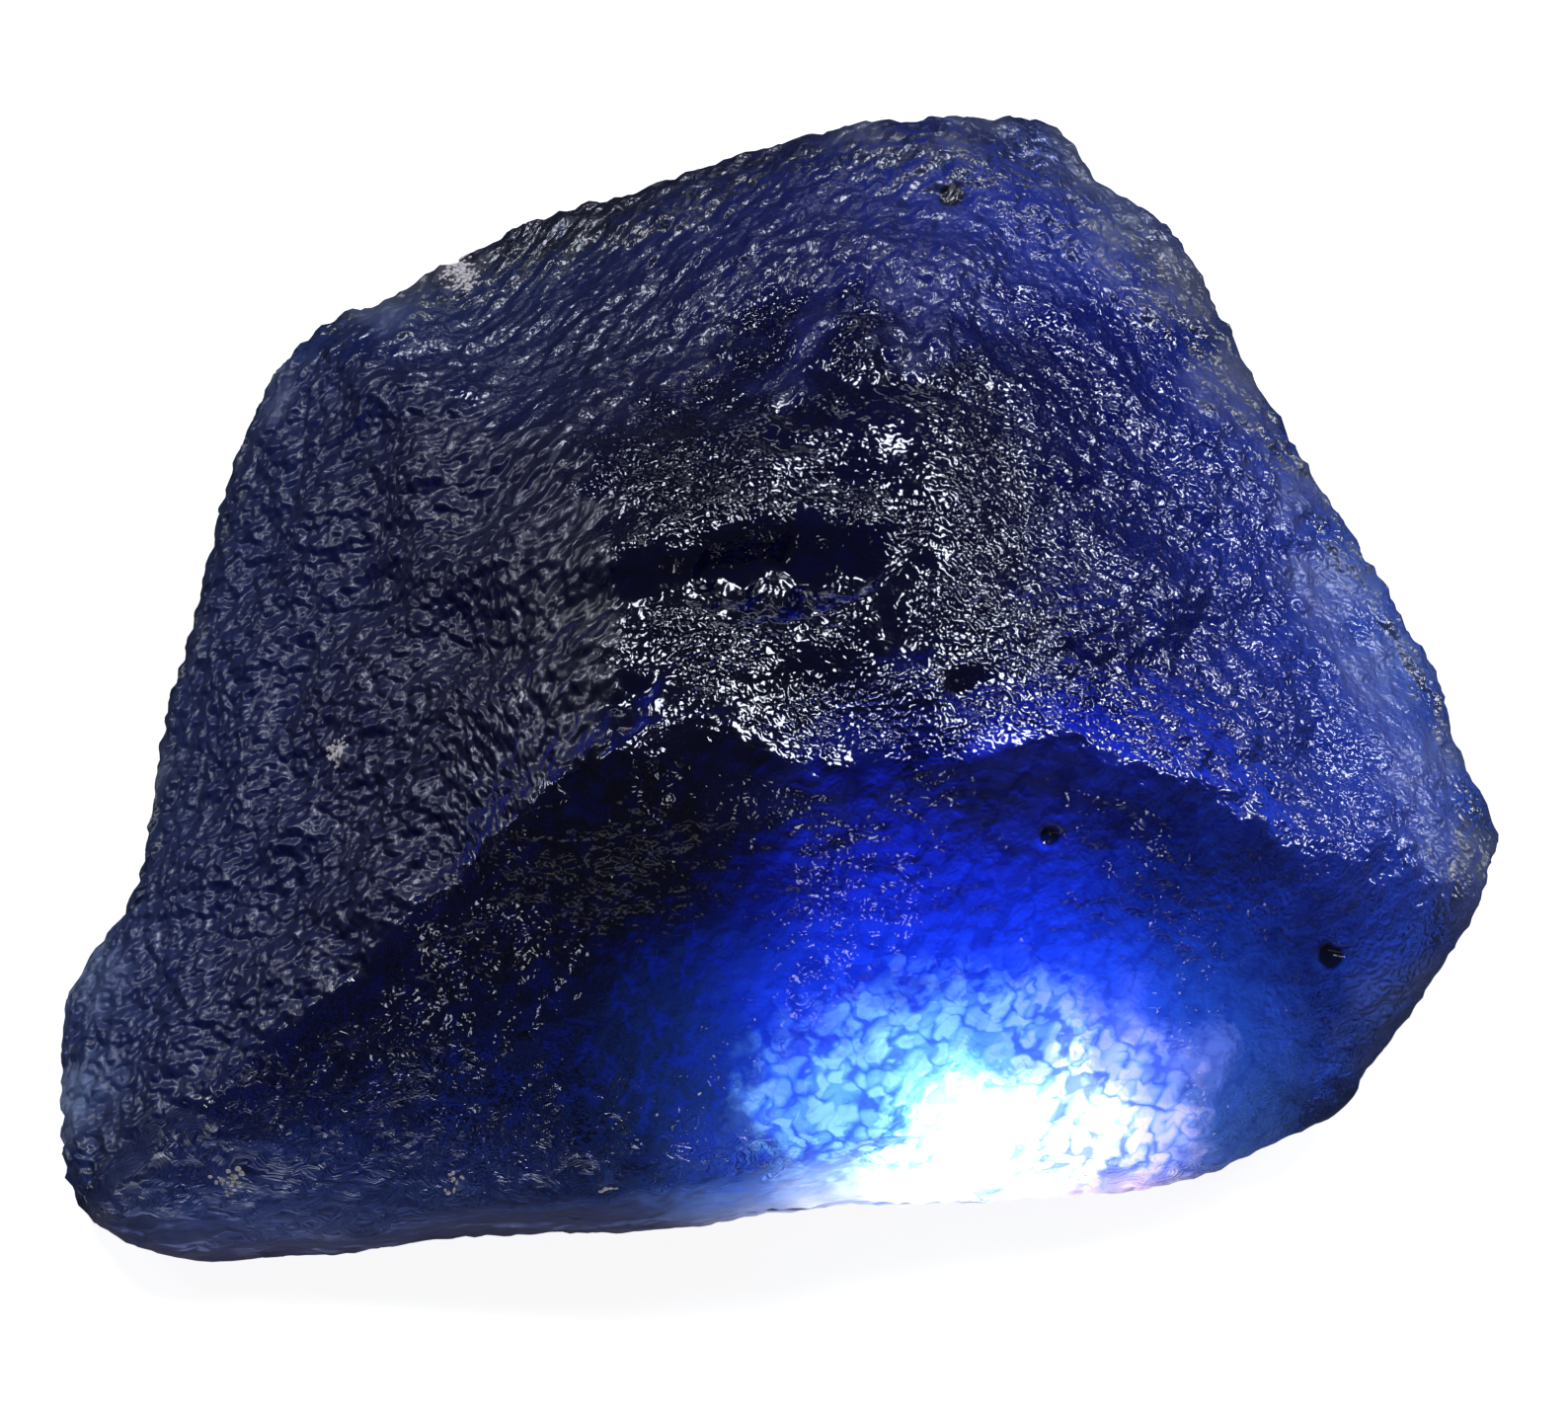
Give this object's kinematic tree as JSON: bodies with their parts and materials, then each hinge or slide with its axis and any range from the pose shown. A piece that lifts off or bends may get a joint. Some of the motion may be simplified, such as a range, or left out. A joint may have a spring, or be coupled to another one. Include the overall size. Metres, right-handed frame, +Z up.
{
  "type": "rough tanzanite crystal",
  "caption": "Rough lump of deep violet-blue gem crystal with broken faces, ridges and hollows, resting on its flat underside.",
  "frame": {"origin": "middle of the stone's outline seen from above, on the flat face it lies on", "axes": "+X along the stone's length to its thick right end, +Y towards its tall back edge, +Z up from the flat face"},
  "size_m": [0.05, 0.0414, 0.016],
  "materials": {
    "violet_blue_crystal": "glassy, etched and lumpy, see-through in deep violet-blue, with a few black specks and pale cream patches"
  },
  "bodies": {
    "root": {"rough_stone": "violet_blue_crystal"}
  },
  "joints": []
}
